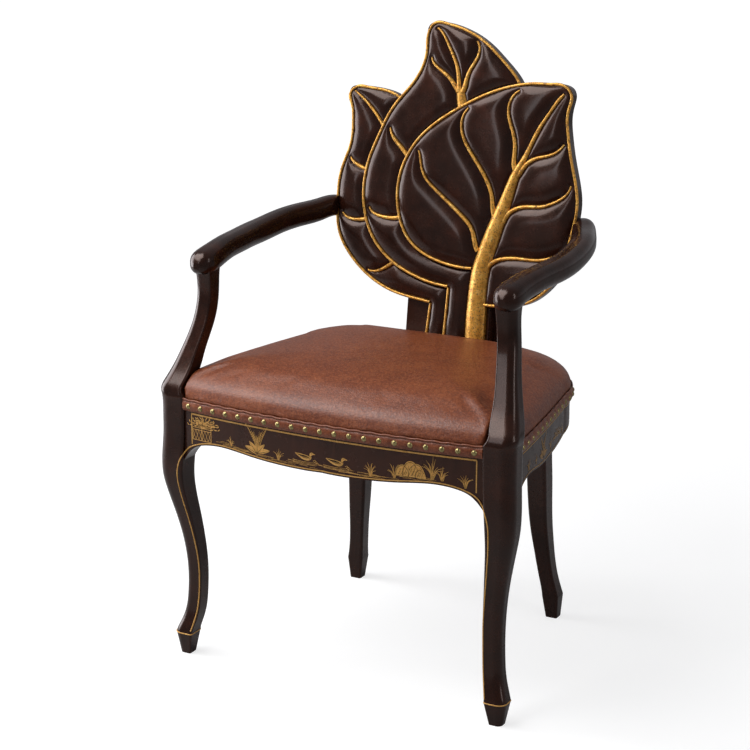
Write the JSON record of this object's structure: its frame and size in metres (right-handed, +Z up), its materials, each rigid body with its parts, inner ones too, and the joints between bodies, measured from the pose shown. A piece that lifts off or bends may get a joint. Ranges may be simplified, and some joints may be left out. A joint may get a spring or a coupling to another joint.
{
  "type": "armchair",
  "caption": "Open armchair with a carved back of lapped gilded leaves, cabriole front legs, raked rear legs, sweeping arms and a crowned leather seat edged with nails.",
  "frame": {"origin": "on the floor, under the middle of the chair's bounding box", "axes": "+Z up, -Y to the front of the chair, +X to the right seen from the front"},
  "size_m": [0.6128, 0.5039, 0.9934],
  "materials": {
    "lacquered_wood": "dark brown gloss lacquer",
    "gilded_wood": "rubbed antique gilding",
    "bare_wood": "unfinished hardwood",
    "plywood": "unfinished plywood",
    "nail_brass": "antique brass",
    "screw_steel": "plain zinc",
    "padding": "foam and wadding",
    "seat_leather": "semi-gloss chestnut leather"
  },
  "bodies": {
    "root": {"front_leg_left": "lacquered_wood", "front_leg_right": "lacquered_wood", "rear_leg_left": "lacquered_wood", "rear_leg_right": "lacquered_wood", "front_rail": "lacquered_wood", "side_rail_left": "lacquered_wood", "side_rail_right": "lacquered_wood", "rear_rail": "lacquered_wood", "arm_post_left": "lacquered_wood", "arm_post_right": "lacquered_wood", "arm_left": "lacquered_wood", "arm_right": "lacquered_wood", "front_leaf": "lacquered_wood", "middle_leaf": "lacquered_wood", "rear_leaf": "lacquered_wood", "splat": "lacquered_wood", "gilded_trunk": "gilded_wood", "front_leaf_rim": "gilded_wood", "middle_leaf_rim": "gilded_wood", "rear_leaf_rim": "gilded_wood", "front_leaf_veins": "gilded_wood", "middle_leaf_veins": "gilded_wood", "rear_leaf_veins": "gilded_wood", "corner_blocks": "bare_wood", "post_dowels": "bare_wood", "arm_dowels": "bare_wood", "arm_end_dowels": "bare_wood", "seat_board": "plywood", "front_nails": "nail_brass", "left_nails": "nail_brass", "right_nails": "nail_brass", "rear_nails": "nail_brass", "splat_screws": "screw_steel", "corner_block_screws": "screw_steel", "seat_padding": "padding", "seat_cover": "seat_leather", "nail_band": "seat_leather"}
  },
  "joints": []
}
